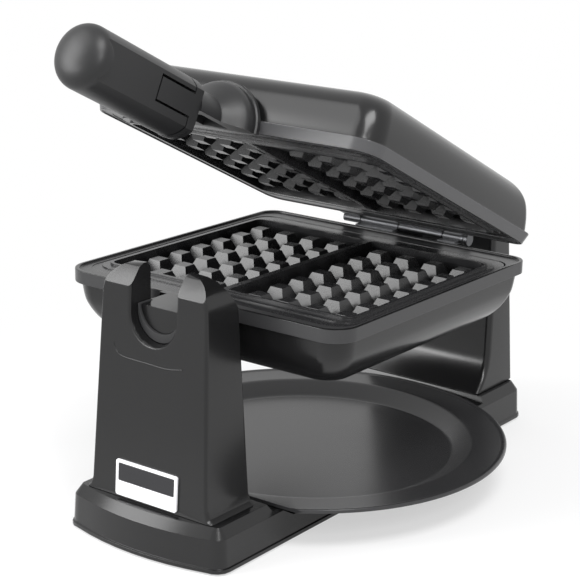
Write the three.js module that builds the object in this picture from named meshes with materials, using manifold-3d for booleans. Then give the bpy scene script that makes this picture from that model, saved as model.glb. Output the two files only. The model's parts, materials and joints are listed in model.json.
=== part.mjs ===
// A rotating waffle maker: a pan and a lid with waffle plates, hung between two towers, over a drip tray.
// Millimetres, +Z up. The roll axis runs along Y and the front, with the handle, faces -Y.
import * as THREE from "three";
import { mergeVertices } from "three/addons/utils/BufferGeometryUtils.js";
import Module from "manifold-3d";

const wasm = await Module();
wasm.setup();

// Clearances.
const gap = 0.3; // between pieces that meet
const overrun = 6; // how far a cut runs past its piece
const weld = 0.0005; // vertices closer than this are one

// Place of the roll axis.
const axisHeight = 164.5;
const gridShift = 0; // from the roll origin to the middle of the plates

// Drip tray. The rear tower and the back of the slab keep clear of its rim.
const trayY = 15;
const trayFloor = 18;
const trayThick = 2.3;
const trayFloorRadius = 106;
const trayDeckRadius = 121;
const trayRimRadius = 147;
const trayDeckRise = 8.7;
const trayRimRise = 9.7;
const trayChord = -107;
const trayClear = 2;
const rearInnerFoot = trayY + trayRimRadius + trayClear;

// Base slab.
const slabHalf = 68;
const slabFront = -181;
const slabBehindTray = 66;
const slabBack = rearInnerFoot + slabBehindTray;
const slabCorner = 11;
const slabBow = 8;
const slabFloor = 1.5;
const slabFlange = 2.5;
const slabFlangeStep = 1.2;
const slabWallTop = 24;
const slabWallDraft = 2.4;
const slabTop = 31;
const slabTopInset = 7.5;
const slabWall = 3.2;
const slabLedge = 3;
const slabPocketTop = 15;

// Bottom cover, its feet and its screws.
const coverFloor = 2;
const coverThick = 2.2;
const footRadius = 9;
const footX = 50;
const footFrontY = -150;
const footBackInset = 30;
const footBackY = slabBack - footBackInset;
const screwHeadRadius = 3.4;
const screwHeadThick = 0.9;
const screwShankRadius = 1.6;
const screwLength = 8;
const screwBossRadius = 5;
const screwX = 38;
const screwFrontY = -120;
const screwBackInset = 72;
const screwBackY = slabBack - screwBackInset;

// Cord inlet in the back of the slab.
const inletX = 0;
const inletHeight = 13.5;
const inletRadius = 6.2;
const inletBore = 3.6;
const inletFlangeRadius = 7.6;
const inletFlangeThick = 2;
const inletDepth = 6;
const inletReach = 16;

// Front tower.
const towerHalfTop = 45;
const towerHalfFoot = 50.6;
const towerFlare = 4.5;
const towerFlareHeight = 8;
const towerAboveAxis = 25.5;
const towerTop = axisHeight + towerAboveAxis;
const towerShoulder = 21;
const towerFaceTop = -158.8; // front face, at the height of the roll axis
const towerFaceFoot = -165.8; // front face, at the slab
const towerBackTop = -125;
const towerBackFoot = -119;
const towerCrestFront = -147.5;
const towerCrestBack = -140;
const towerCrestRound = 4;
const towerFrontEdgeDrop = 13;
const towerFrontEdgeRun = 10.5;
const towerBackEdgeDrop = 25;
const towerBackEdgeRun = 15;
const towerBevel = 2.6;
const towerWall = 4;
const towerPocketDrop = 46.5;
const towerPocketTop = axisHeight - towerPocketDrop;
const towerPocketCorner = 3;
const notchRadius = 19.3;
const notchCentreDrop = 4.7;
const recessRadius = 31.8;
const recessFace = -138.6;

// Rear tower.
const rearHalfTop = 50;
const rearHalfFoot = 57;
const rearAboveAxis = 16.5;
const rearTop = axisHeight + rearAboveAxis;
const rearShoulder = 22;
const rearInnerTopBack = 23; // how far behind the foot's inner edge
const rearInnerMidBack = 19;
const rearInnerTop = rearInnerFoot + rearInnerTopBack;
const rearInnerMid = rearInnerFoot + rearInnerMidBack;
const rearFilletHeight = 30;
const rearMidHeight = 90;
const rearOuterTopBack = 48.2;
const rearOuterFootBack = 56;
const rearOuterTop = rearInnerFoot + rearOuterTopBack;
const rearOuterFoot = rearInnerFoot + rearOuterFootBack;
const rearCorner = 5;
const rearWall = 4;
const rearPocketDrop = 32.5;
const rearPocketTop = axisHeight - rearPocketDrop;
const rearPocketCorner = 2;
const bushOuter = 12.7;
const bushBackReach = 41;
const bushBack = rearInnerFoot + bushBackReach;

// Badge on the front tower.
const badgeWidth = 53;
const badgeTall = 25;
const badgeThick = 1.6;
const badgeCorner = 1.6;
const badgeHeight = 45.5;
const badgeBorder = 2.4;
const badgeFieldTall = 12;
const badgeFieldThick = 0.6;

// Pan and lid housings, seen from the parting plane.
const panHalf = 119;
const panFront = -117;
const panBack = 120.5;
const panFrontCorner = 21;
const panBackCorner = 14;
const rimDrop = 2;
const bandTall = 9;
const bandLip = 0.7;
const bandLipWide = 2;
const panStep = 3.4;
const panDepth = 46.2;
const housingWall = 3;
const lidHeight = 46;
const lidStepRise = 3.4;
const lidStepIn = 1.2;
const postRadius = 4;
const postInset = 49;
const postX = panHalf - postInset;
const postY = 55;

// Waffle plates.
const pitch = 24;
const plateEndMargin = 2;
const plateColumns = 4;
const plateRows = 7;
const waffleGap = 14.4;
const pyramidFoot = 20.4;
const pyramidTop = 9.8;
const pyramidTopDrop = 4;
const plateWallDrop = 1;
const plateFloorDrop = 16.5;
const plateThick = 3;
const plateInset = 13;
const plateHalf = panHalf - plateInset;
const plateHalfLong = 88.5;
const plateCorner = 8;
const plateWall = 2.5;
const plateRibHalf = 2.6;
const plateRibDrop = 1.6;
const flangeInset = 6.5;
const flangeHalf = panHalf - flangeInset;
const flangeHalfLong = 105;
const flangeCorner = 13;
const flangeDrop = 3.2;
const flangeThick = 2;
const deckHalfLong = 95.6;
const deckDrop = 2.4;
const seatOverlap = 5;

// Heating elements, heat shields and thermostats.
const elementRadius = 3.2;
const elementInset = 44;
const elementX = plateHalf - elementInset;
const elementY = 52;
const elementBend = 18;
const shieldInset = 8;
const shieldHalf = plateHalf - shieldInset;
const shieldHalfLong = 80;
const shieldThick = 1;
const shieldLip = 4;
const thermostatRadius = 9;
const thermostatTall = 8;
const thermostatY = 30;

// Hinge between the pan and the lid.
const hingeY = 131.2;
const hingeRise = 1;
const lidOpenDegrees = 25.72;
const knuckleRadius = 3.4;
const hingePinRadius = 1.7;
const hingeLeafThick = 2;
const hingeEnds = [-52.5, -36.5, -35.9, -1.2, -0.6, 38.8, 39.4, 55];
const hingeSideGap = 0.6;
const hingeTabTall = 8;
const hingeTabThick = 3;
const hingePinHead = 5;
const hingePinHeadThick = 3.4;
const hingeWasherThick = 2.6;

// Front trunnion halves, neck and handle.
const trunnionRadius = 17.6;
const trunnionFront = -157.6;
const trunnionLowFront = -150;
const trunnionSplit = 0.8;
const trunnionNose = 3;
const trunnionThroat = 3;
const linerFront = -152;
const linerBack = -139.5;
const collarRadius = 33;
const collarThick = 4;
const collarLowStep = 6;
const neckBulge = 30.6;
const neckBack = -126;
const neckWaist = -138.2;
const neckBlockFront = -164.7;
const neckBlockBack = -160.3;
const neckPocketHalf = 10.5;
const neckPocketHeight = 10;
const pivotY = -187;
const gripRadius = 20.5;
const gripRise = 0.5;
const gripTip = -267;
const gripDome = -254;
const gripFacet = 16;
const gripEnd = -165;
const slotLow = -5.5;
const slotHigh = 9.5;
const slotEnd = -202;
const pinRadius = 3;
const pinRecess = 1.2;
const pinFloor = 3;

// Rear trunnion.
const shaftRadius = 9;
const shaftBackReach = 39;
const shaftBack = rearInnerFoot + shaftBackReach;
const armHalf = 14;
const armLow = -36;
const armHigh = -14;
const armRiser = 141;
const armBack = 151;
const armUnderHinge = -6;
const shaftCollarRadius = 10.8;
const shaftCollarThick = 3.4;

const satin = (name, colour, roughness, metalness) => {
  const material = new THREE.MeshStandardMaterial({ color: colour, roughness, metalness });
  material.name = name;
  return material;
};
const housingBlack = satin("housing", 0x3a3b3d, 0.42, 0);
const gripBlack = satin("grip", 0x333437, 0.38, 0);
const plateCoat = satin("plate", 0x2c2c2e, 0.4, 0.3);
const trayCoat = satin("tray", 0x46474a, 0.5, 0.2);
const steel = satin("steel", 0x9a9ca0, 0.3, 1);
const rubberBlack = satin("rubber", 0x1c1c1e, 0.9, 0);
const badgeWhite = satin("badge", 0xe8e8ea, 0.4, 0);
const badgeDark = satin("badge_field", 0x18181a, 0.4, 0);

// A closed geometry as a solid that can be cut and joined.
function solid(geometry) {
  const bare = geometry.index ? geometry.toNonIndexed() : geometry;
  const soup = new THREE.BufferGeometry().setAttribute("position", bare.getAttribute("position"));
  const merged = mergeVertices(soup, weld);
  const triVerts = new Uint32Array(merged.index.array);
  const vertProperties = merged.attributes.position.array;
  const made = new wasm.Manifold(new wasm.Mesh({ numProp: 3, vertProperties, triVerts }));
  if (made.volume() > 0) return made;
  for (let i = 0; i < triVerts.length; i += 3) {
    [triVerts[i + 1], triVerts[i + 2]] = [triVerts[i + 2], triVerts[i + 1]];
  }
  return new wasm.Manifold(new wasm.Mesh({ numProp: 3, vertProperties, triVerts }));
}

// A solid as a named mesh in a group.
function place(group, name, made, material) {
  const data = made.getMesh();
  const geometry = new THREE.BufferGeometry();
  const position = new Float32Array(data.numVert * 3);
  for (let i = 0; i < data.numVert; i++) {
    position.set(data.vertProperties.subarray(i * data.numProp, i * data.numProp + 3), i * 3);
  }
  geometry.setAttribute("position", new THREE.BufferAttribute(position, 3));
  geometry.setIndex(new THREE.BufferAttribute(new Uint32Array(data.triVerts), 1));
  geometry.computeVertexNormals();
  const mesh = new THREE.Mesh(geometry, material);
  mesh.name = name;
  group.add(mesh);
  return mesh;
}

function block(x0, x1, y0, y1, z0, z1) {
  const box = new THREE.BoxGeometry(x1 - x0, y1 - y0, z1 - z0);
  return solid(box.translate((x0 + x1) / 2, (y0 + y1) / 2, (z0 + z1) / 2));
}

// Round rods along each axis, from one end to the other.
function rodZ(radius, x, y, z0, z1, sides = 24) {
  const rod = new THREE.CylinderGeometry(radius, radius, z1 - z0, sides);
  return solid(rod.rotateX(Math.PI / 2).translate(x, y, (z0 + z1) / 2));
}
function rodY(radius, x, z, y0, y1, sides = 32) {
  const rod = new THREE.CylinderGeometry(radius, radius, y1 - y0, sides);
  return solid(rod.translate(x, (y0 + y1) / 2, z));
}
function rodX(radius, y, z, x0, x1, sides = 20) {
  const rod = new THREE.CylinderGeometry(radius, radius, x1 - x0, sides);
  return solid(rod.rotateZ(Math.PI / 2).translate((x0 + x1) / 2, y, z));
}

// Outlines pushed up along Z, or along X from a side view, or along Y from a front view.
function plateZ(points, z0, z1) {
  const shape = new THREE.Shape(points);
  const made = new THREE.ExtrudeGeometry(shape, { depth: z1 - z0, bevelEnabled: false });
  return solid(made.translate(0, 0, z0));
}
function sideX(points, x0, x1) {
  const shape = new THREE.Shape(points);
  const made = new THREE.ExtrudeGeometry(shape, { depth: x1 - x0, bevelEnabled: false });
  const turn = new THREE.Matrix4().makeBasis(
    new THREE.Vector3(0, 1, 0),
    new THREE.Vector3(0, 0, 1),
    new THREE.Vector3(1, 0, 0),
  );
  return solid(made.applyMatrix4(turn).translate(x0, 0, 0));
}

const at = (x, y) => new THREE.Vector2(x, y);

function arc(cx, cy, radius, from, to, steps) {
  const points = [];
  for (let i = 0; i <= steps; i++) {
    const angle = ((from + ((to - from) * i) / steps) * Math.PI) / 180;
    points.push(at(cx + radius * Math.cos(angle), cy + radius * Math.sin(angle)));
  }
  return points;
}

// A rectangle with round corners and, if asked, ends that bow outwards. Counter-clockwise.
function outline(half, front, back, frontCorner, backCorner, bow = 0, steps = 4) {
  const low = front + bow;
  const high = back - bow;
  const points = [
    ...arc(half - frontCorner, low + frontCorner, frontCorner, -90, 0, steps),
    ...arc(half - backCorner, high - backCorner, backCorner, 0, 90, steps),
  ];
  const bowSteps = bow > 0 ? 8 : 0;
  const run = half - backCorner;
  const runFront = half - frontCorner;
  for (let i = 1; i < bowSteps; i++) {
    const share = 1 - (2 * i) / bowSteps;
    points.push(at(run * share, high + bow * (1 - share * share)));
  }
  points.push(...arc(backCorner - half, high - backCorner, backCorner, 90, 180, steps));
  points.push(...arc(frontCorner - half, low + frontCorner, frontCorner, 180, 270, steps));
  for (let i = 1; i < bowSteps; i++) {
    const share = (2 * i) / bowSteps - 1;
    points.push(at(runFront * share, low - bow * (1 - share * share)));
  }
  return points;
}

// A skin over rings of points, one ring at each height, closed flat at both ends.
function loft(rings) {
  const count = rings[0].points.length;
  const position = [];
  const index = [];
  for (const ring of rings) {
    for (const p of ring.points) position.push(p.x, p.y, ring.z);
  }
  for (let r = 0; r + 1 < rings.length; r++) {
    for (let i = 0; i < count; i++) {
      const a = r * count + i;
      const b = r * count + ((i + 1) % count);
      index.push(a, b, b + count, a, b + count, a + count);
    }
  }
  const last = (rings.length - 1) * count;
  for (const face of THREE.ShapeUtils.triangulateShape(rings[0].points, [])) {
    index.push(face[2], face[1], face[0]);
  }
  for (const face of THREE.ShapeUtils.triangulateShape(rings[rings.length - 1].points, [])) {
    index.push(last + face[0], last + face[1], last + face[2]);
  }
  const geometry = new THREE.BufferGeometry();
  geometry.setAttribute("position", new THREE.BufferAttribute(new Float32Array(position), 3));
  geometry.setIndex(index);
  return solid(geometry);
}

// A turned solid about the Z axis, or about the Y axis, from points of radius and height.
function turnedZ(points, sides) {
  return solid(new THREE.LatheGeometry(points, sides).rotateX(Math.PI / 2));
}
function turnedY(points, sides) {
  return solid(new THREE.LatheGeometry(points, sides));
}

const root = new THREE.Group();
const base = new THREE.Group();
root.add(base);

// Base slab: a flange at the floor, a drafted wall and a chamfer up to its top.
const slabRing = (inset, z) => {
  const corner = Math.max(slabCorner - inset, slabCorner / 4);
  const points = outline(slabHalf - inset, slabFront + inset, slabBack - inset, corner, corner, slabBow);
  return { points, z };
};
const slabFlangeTop = slabFloor + slabFlange;
let slab = loft([
  slabRing(0, slabFloor),
  slabRing(0, slabFlangeTop),
  slabRing(slabFlangeStep, slabFlangeTop + slabFlangeStep / 2),
  slabRing(slabWallDraft, slabWallTop),
  slabRing(slabTopInset, slabTop),
]);

// The hollow under the slab, with a ledge for the cover and bosses for its screws.
const coverTop = coverFloor + coverThick;
const ledgeHeight = coverTop + gap;
const ledgeInset = slabWall + slabFlangeStep;
slab = slab.subtract(loft([slabRing(ledgeInset, slabFloor - overrun), slabRing(ledgeInset, ledgeHeight)]));
const pocketInset = ledgeInset + slabLedge;
slab = slab.subtract(loft([slabRing(pocketInset, slabFloor), slabRing(pocketInset, slabPocketTop)]));
const screwPlaces = [];
for (const y of [screwFrontY, screwBackY]) {
  for (const x of [-screwX, screwX]) screwPlaces.push(at(x, y));
}
for (const p of screwPlaces) {
  slab = slab.add(rodZ(screwBossRadius, p.x, p.y, ledgeHeight, slabPocketTop + slabWall / 2));
  const boreTop = coverTop + screwLength + gap;
  slab = slab.subtract(rodZ(screwShankRadius + gap, p.x, p.y, slabFloor, boreTop, 12));
}

// The channel in which the tray rests. It runs across the whole slab, so the tray slides out sideways.
const trayDeck = trayFloor + trayDeckRise;
const channel = [
  at(trayY - trayRimRadius - overrun, slabTop + overrun),
  at(trayY - trayRimRadius - overrun, slabTop),
  at(towerBackFoot + towerFlare + gap, slabTop),
  at(towerBackFoot + towerFlare + gap + (slabTop - trayDeck) / 2, trayDeck - gap),
  at(trayY - trayDeckRadius, trayDeck - gap),
  at(trayY - trayFloorRadius, trayFloor - gap),
  at(trayY + trayFloorRadius, trayFloor - gap),
  at(trayY + trayDeckRadius, trayDeck - gap),
  at(rearInnerFoot - (slabTop - trayDeck) / 2, trayDeck - gap),
  at(rearInnerFoot - gap, slabTop),
  at(rearInnerFoot - gap, slabTop + overrun),
];
slab = slab.subtract(sideX(channel, -slabHalf - overrun, slabHalf + overrun));

// The hole for the cord inlet, in the back wall of the slab.
const slabBackWall = slabBack - slabWallDraft;
slab = slab.subtract(rodY(inletRadius + gap, inletX, inletHeight, slabBackWall - inletReach, slabBack, 24));
place(base, "base_slab", slab, housingBlack);

const inletFlangeFace = slabBackWall - inletReach;
let inlet = rodY(inletRadius, inletX, inletHeight, slabBackWall - inletDepth, slabBackWall + inletFlangeThick, 24);
inlet = inlet.add(
  rodY(inletFlangeRadius, inletX, inletHeight, slabBack + gap, slabBack + gap + inletFlangeThick, 24),
);
inlet = inlet.add(rodY(inletRadius, inletX, inletHeight, slabBackWall, slabBack + gap + inletFlangeThick / 2, 24));
inlet = inlet.subtract(rodY(inletBore, inletX, inletHeight, inletFlangeFace, slabBack + overrun, 16));
place(base, "cord_inlet", inlet, rubberBlack);

// Bottom cover with sunk screw holes.
const coverInset = ledgeInset + gap;
let cover = loft([slabRing(coverInset, coverFloor), slabRing(coverInset, coverTop)]);
for (const p of screwPlaces) {
  cover = cover.subtract(rodZ(screwShankRadius + gap, p.x, p.y, 0, slabPocketTop, 12));
  cover = cover.subtract(rodZ(screwHeadRadius + gap, p.x, p.y, 0, coverFloor + screwHeadThick + gap, 16));
}
place(base, "bottom_cover", cover, housingBlack);
screwPlaces.forEach((p, i) => {
  const head = rodZ(screwHeadRadius, p.x, p.y, coverFloor, coverFloor + screwHeadThick, 16);
  const shank = rodZ(screwShankRadius, p.x, p.y, coverFloor, coverTop + screwLength, 12);
  place(base, "cover_screw_" + (i + 1), head.add(shank), steel);
});

// Rubber feet.
let footNumber = 0;
for (const y of [footFrontY, footBackY]) {
  for (const x of [-footX, footX]) {
    footNumber += 1;
    place(base, "foot_" + footNumber, rodZ(footRadius, x, y, 0, coverFloor - gap), rubberBlack);
  }
}

// Front tower: its front view is pushed back, then its front and back faces are leant.
const towerFoot = slabTop + gap;
const towerSlope = (towerHalfFoot - towerHalfTop) / (axisHeight - towerFoot);
const towerSide = (z) => towerHalfTop + towerSlope * (axisHeight - z);
const notchHeight = axisHeight - notchCentreDrop;
const shoulderX = towerSide(towerTop - towerShoulder) - towerShoulder;
const towerRight = [
  at(towerHalfFoot + towerFlare, towerFoot - overrun * 2),
  at(towerHalfFoot + towerFlare, towerFoot),
  at(towerHalfFoot + towerFlare / 3, towerFoot + towerFlareHeight / 3),
  at(towerSide(towerFoot + towerFlareHeight), towerFoot + towerFlareHeight),
  ...arc(shoulderX, towerTop - towerShoulder, towerShoulder, 0, 70, 7),
  at(notchRadius, towerTop),
];
const towerNotch = arc(0, notchHeight, notchRadius, 0, -180, 20);
const towerFront = [...towerRight, ...towerNotch];
for (const p of [...towerRight].reverse()) towerFront.push(at(-p.x, p.y));
const towerDepth = towerBackTop - towerFaceTop;
const leanFront = (towerFaceFoot - towerFaceTop) / (axisHeight - towerFoot);
const leanBack = (towerBackFoot - towerBackTop) / (axisHeight - towerFoot);
const faceAt = (z) => towerFaceTop + leanFront * (axisHeight - z);
const backAt = (z) => towerBackTop + leanBack * (axisHeight - z);
const towerBlank = new THREE.ExtrudeGeometry(new THREE.Shape(towerFront), {
  depth: towerDepth - 2 * towerBevel,
  bevelEnabled: true,
  bevelThickness: towerBevel,
  bevelSize: towerBevel,
  bevelOffset: -towerBevel,
  bevelSegments: 3,
});
towerBlank.translate(0, 0, towerBevel);
const blankPosition = towerBlank.getAttribute("position");
for (let i = 0; i < blankPosition.count; i++) {
  const x = blankPosition.getX(i);
  const z = blankPosition.getY(i);
  const share = blankPosition.getZ(i) / towerDepth;
  blankPosition.setXYZ(i, x, faceAt(z) + (backAt(z) - faceAt(z)) * share, z);
}
let tower = solid(towerBlank);
const crest = [
  at(towerFaceFoot - overrun * 2, towerFoot),
  at(towerBackFoot + overrun * 2, towerFoot),
  at(towerCrestBack + towerBackEdgeRun * 3, towerTop - towerBackEdgeDrop * 3),
  at(towerCrestBack + towerCrestRound / 2, towerTop - towerCrestRound),
  at(towerCrestBack - towerCrestRound / 2, towerTop),
  at(towerCrestFront + towerCrestRound / 2, towerTop),
  at(towerCrestFront - towerCrestRound / 2, towerTop - towerCrestRound / 2),
  at(towerCrestFront - towerFrontEdgeRun, towerTop - towerFrontEdgeDrop),
  at(towerCrestFront - towerFrontEdgeRun * 4, towerTop - towerFrontEdgeDrop * 4),
];
tower = tower.intersect(sideX(crest, -towerHalfFoot * 2, towerHalfFoot * 2));
tower = tower.subtract(rodY(recessRadius, 0, axisHeight, recessFace, towerBackFoot + overrun, 40));

// The hollow of the front tower, open at its foot.
const hollowRing = (z) => {
  const half = towerSide(z) - towerWall;
  return { points: outline(half, faceAt(z) + towerWall, backAt(z) - towerWall, towerPocketCorner, towerPocketCorner, 0, 2), z };
};
tower = tower.subtract(loft([hollowRing(towerFoot - overrun), hollowRing(towerPocketTop)]));
place(base, "front_tower", tower, housingBlack);

// The bearing liner in the notch: round inside about the roll axis, and fitting the notch outside.
const linerOuter = notchRadius - gap;
const linerInner = trunnionRadius + gap;
const linerShape = [
  at(linerOuter, axisHeight),
  ...arc(0, notchHeight, linerOuter, 0, -180, 20).slice(0),
  at(-linerOuter, axisHeight),
  ...arc(0, axisHeight, linerInner, -180, 0, 20),
];
const linerBlank = new THREE.ExtrudeGeometry(new THREE.Shape(linerShape), {
  depth: linerBack - linerFront,
  bevelEnabled: false,
});
place(base, "cradle_liner", solid(linerBlank.rotateX(Math.PI / 2).translate(0, linerBack, 0)), rubberBlack);

// Rear tower: rings of round-cornered rectangles, with a curved foot on the inner side.
const rearFoot = slabTop + gap;
const rearSide = (z) => rearHalfTop + ((rearHalfFoot - rearHalfTop) * (rearTop - z)) / (rearTop - rearFoot);
const rearOuter = (z) => rearOuterTop + ((rearOuterFoot - rearOuterTop) * (rearTop - z)) / (rearTop - rearFoot);
const rearInner = (z) => {
  const high = Math.max(z - rearMidHeight, 0) / (rearTop - rearMidHeight);
  const low = Math.max(rearMidHeight - z, 0) / (rearMidHeight - rearFoot);
  const foot = Math.max(1 - (z - rearFoot) / rearFilletHeight, 0);
  const drawn = (rearInnerMid - rearInnerFoot) * 0.7 * foot * foot;
  return rearInnerMid + (rearInnerTop - rearInnerMid) * high - (rearInnerMid - rearInnerFoot) * 0.3 * low - drawn;
};
const rearRings = [];
const rearRise = rearTop - rearShoulder - rearFoot;
for (const share of [0, 0.04, 0.09, 0.15, 0.22, 0.32, 0.46, 0.75, 1]) {
  const z = rearFoot + rearRise * share;
  rearRings.push({ points: outline(rearSide(z), rearInner(z), rearOuter(z), rearCorner, rearCorner, 0, 3), z });
}
for (const degrees of [18, 36, 52, 66, 78, 88]) {
  const angle = (degrees * Math.PI) / 180;
  const z = rearTop - rearShoulder * (1 - Math.sin(angle));
  const half = rearSide(z) - rearShoulder * (1 - Math.cos(angle));
  rearRings.push({ points: outline(half, rearInner(z), rearOuter(z), rearCorner, rearCorner, 0, 3), z });
}
let rear = loft(rearRings);
const rearHollow = (z) => {
  const half = rearSide(z) - rearWall;
  return { points: outline(half, rearInnerMid + rearWall, rearOuter(z) - rearWall, rearPocketCorner, rearPocketCorner, 0, 2), z };
};
rear = rear.subtract(loft([rearHollow(rearFoot - overrun), rearHollow(rearPocketTop)]));
rear = rear.subtract(rodY(bushOuter + gap, 0, axisHeight, rearInnerFoot, bushBack + gap));
place(base, "rear_tower", rear, housingBlack);

const bushFront = rearInner(axisHeight) - gap * 2;
let bush = rodY(bushOuter, 0, axisHeight, bushFront, bushBack);
bush = bush.subtract(rodY(shaftRadius + gap, 0, axisHeight, bushFront - overrun, bushBack + overrun));
place(base, "rear_bush", bush, rubberBlack);

// Badge, leant with the face of the tower.
const badge = new THREE.Group();
badge.position.set(0, faceAt(badgeHeight) - gap, badgeHeight);
badge.rotation.x = Math.atan(leanFront);
base.add(badge);
const badgeHalf = badgeWidth / 2;
const frontPlate = (half, low, high, corner, face, back) => {
  const shape = new THREE.Shape(outline(half, low, high, corner, corner, 0, 4));
  const made = new THREE.ExtrudeGeometry(shape, { depth: back - face, bevelEnabled: false });
  return solid(made.rotateX(Math.PI / 2).translate(0, back, 0));
};
let badgePlate = frontPlate(badgeHalf, -badgeTall / 2, badgeTall / 2, badgeCorner, -badgeThick, 0);
const fieldHigh = badgeTall / 2 - badgeBorder;
const fieldLow = fieldHigh - badgeFieldTall;
const fieldHalf = badgeHalf - badgeBorder;
const fieldFace = -badgeThick;
const fieldBack = fieldFace + badgeFieldThick;
const fieldCut = [fieldHalf + gap, fieldLow - gap, fieldHigh + gap, badgeCorner / 2];
badgePlate = badgePlate.subtract(frontPlate(...fieldCut, fieldFace - overrun, fieldBack + gap));
place(badge, "badge_plate", badgePlate, badgeWhite);
const field = frontPlate(fieldHalf, fieldLow, fieldHigh, badgeCorner / 2, fieldFace, fieldBack);
place(badge, "badge_field", field, badgeDark);

// Drip tray: a round dish with a sloped side and a flat rim, cut straight at the front tower.
const trayGroup = new THREE.Group();
trayGroup.position.set(0, trayY, trayFloor);
base.add(trayGroup);
const trayProfile = [
  at(0, 0),
  at(trayFloorRadius, 0),
  at(trayDeckRadius, trayDeckRise),
  at(trayRimRadius - trayThick / 2, trayRimRise),
  at(trayRimRadius, trayRimRise + trayThick / 3),
  at(trayRimRadius, trayRimRise + trayThick),
  at(trayRimRadius - trayThick / 2, trayRimRise + (trayThick * 4) / 3),
  at(trayRimRadius - trayThick * 2, trayRimRise + trayThick * 0.9),
  at(trayDeckRadius, trayDeckRise + trayThick),
  at(trayFloorRadius - trayThick / 3, trayThick),
  at(0, trayThick),
];
let tray = turnedZ(trayProfile, 56);
const chordLocal = trayChord - trayY;
tray = tray.subtract(
  block(-trayRimRadius * 2, trayRimRadius * 2, chordLocal - trayRimRadius, chordLocal, -overrun, trayRimRadius),
);
place(trayGroup, "drip_tray", tray, trayCoat);

// The rolling unit. Its heights are counted from the parting plane, at the roll axis.
const roll = new THREE.Group();
roll.position.set(0, gridShift, axisHeight);
root.add(roll);

const panRing = (inset, z) => {
  const front = Math.max(panFrontCorner - inset / 2, panFrontCorner / 3);
  const back = Math.max(panBackCorner - inset / 3, panBackCorner / 3);
  return { points: outline(panHalf - inset, panFront + inset, panBack - inset, front, back), z };
};
const bandLow = -rimDrop - bandTall;
// Heights as shares of the pan's depth, with insets as shares of the half width.
const panShares = [
  [1, 0.3],
  [0.99, 0.211],
  [0.942, 0.156],
  [0.825, 0.107],
  [0.706, 0.076],
  [0.589, 0.054],
  [0.472, 0.04],
];
const panRings = panShares.map(([down, inset]) => panRing(panHalf * inset, -panDepth * down));
let pan = loft([
  ...panRings,
  panRing(panStep, bandLow),
  panRing(0, bandLow + gap),
  panRing(0, -rimDrop + bandLip),
  panRing(bandLipWide, -rimDrop + bandLip),
  panRing(bandLipWide, -rimDrop),
]);
const seatTop = -flangeDrop - flangeThick - gap;
const shelfLow = seatTop - housingWall;
const cavityShares = panShares.slice(1).map(([down, inset]) => {
  return panRing(panHalf * inset + housingWall, (housingWall - panDepth) * down);
});
pan = pan.subtract(loft([...cavityShares, panRing(panStep + housingWall, shelfLow)]));
const seatOpening = (z0, z1) => {
  const half = flangeHalf - seatOverlap;
  const long = plateHalfLong + gap * 4;
  return plateZ(outline(half, -long, long, plateCorner, plateCorner), z0, z1);
};
const seatRebate = (z0, z1) => {
  const half = flangeHalf + gap;
  const long = flangeHalfLong + gap;
  return plateZ(outline(half, -long, long, flangeCorner, flangeCorner), z0, z1);
};
pan = pan.subtract(seatOpening(shelfLow - overrun, overrun));
pan = pan.subtract(seatRebate(seatTop, overrun));

// Stack under a plate: the heating element, then the heat shield, then posts of the housing.
const plateLow = -plateFloorDrop - plateThick;
const elementHeight = plateLow - gap - elementRadius;
const shieldTop = elementHeight - elementRadius - gap;
const shieldLow = shieldTop - shieldThick;
const postTop = shieldLow - gap;
const postPlaces = [];
for (const y of [-postY, postY]) {
  for (const x of [-postX, postX]) postPlaces.push(at(x, y));
}
for (const p of postPlaces) pan = pan.add(rodZ(postRadius, p.x, p.y, housingWall / 2 - panDepth, postTop));
place(roll, "lower_housing", pan, housingBlack);

// A waffle plate: floor, wall, rib, stepped flange and rows of cut pyramids, open upwards.
function wafflePlate() {
  const floor = outline(plateHalf, -plateHalfLong, plateHalfLong, plateCorner, plateCorner);
  let made = plateZ(floor, plateLow, -plateWallDrop);
  const inner = plateHalf - plateWall;
  const innerLong = plateHalfLong - plateWall;
  const bay = outline(inner, -innerLong, innerLong, plateCorner - plateWall, plateCorner - plateWall);
  const flange = outline(flangeHalf, -flangeHalfLong, flangeHalfLong, flangeCorner, flangeCorner);
  made = made.add(plateZ(flange, -flangeDrop - flangeThick, -flangeDrop));
  const deck = outline(flangeHalf - plateWall, -deckHalfLong, deckHalfLong, flangeCorner, flangeCorner);
  made = made.add(plateZ(deck, -flangeDrop - flangeThick / 2, -deckDrop));
  made = made.subtract(plateZ(bay, -plateFloorDrop, overrun));
  made = made.add(block(-plateRibHalf, plateRibHalf, -innerLong - gap, innerLong + gap, plateLow, -plateRibDrop));
  const rise = plateFloorDrop - pyramidTopDrop;
  const frustum = new THREE.CylinderGeometry(pyramidTop / Math.SQRT2, pyramidFoot / Math.SQRT2, rise, 4);
  // The pyramids fill the plate, so their pitch follows its inside.
  const acrossPitch = (inner - waffleGap / 2 - gap) / plateColumns;
  const alongPitch = ((innerLong - plateEndMargin) * 2) / plateRows;
  frustum.rotateY(Math.PI / 4).rotateX(Math.PI / 2);
  frustum.scale(acrossPitch / pitch, alongPitch / pitch, 1);
  const height = -pyramidTopDrop - rise / 2 - gap / 10;
  const rowMiddle = (plateRows - 1) / 2;
  for (const side of [-1, 1]) {
    for (let c = 0; c < plateColumns; c++) {
      for (let r = 0; r < plateRows; r++) {
        const x = side * (waffleGap / 2 + acrossPitch / 2 + c * acrossPitch);
        made = made.add(solid(frustum.clone().translate(x, (r - rowMiddle) * alongPitch, height)));
      }
    }
  }
  return made;
}

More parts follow.
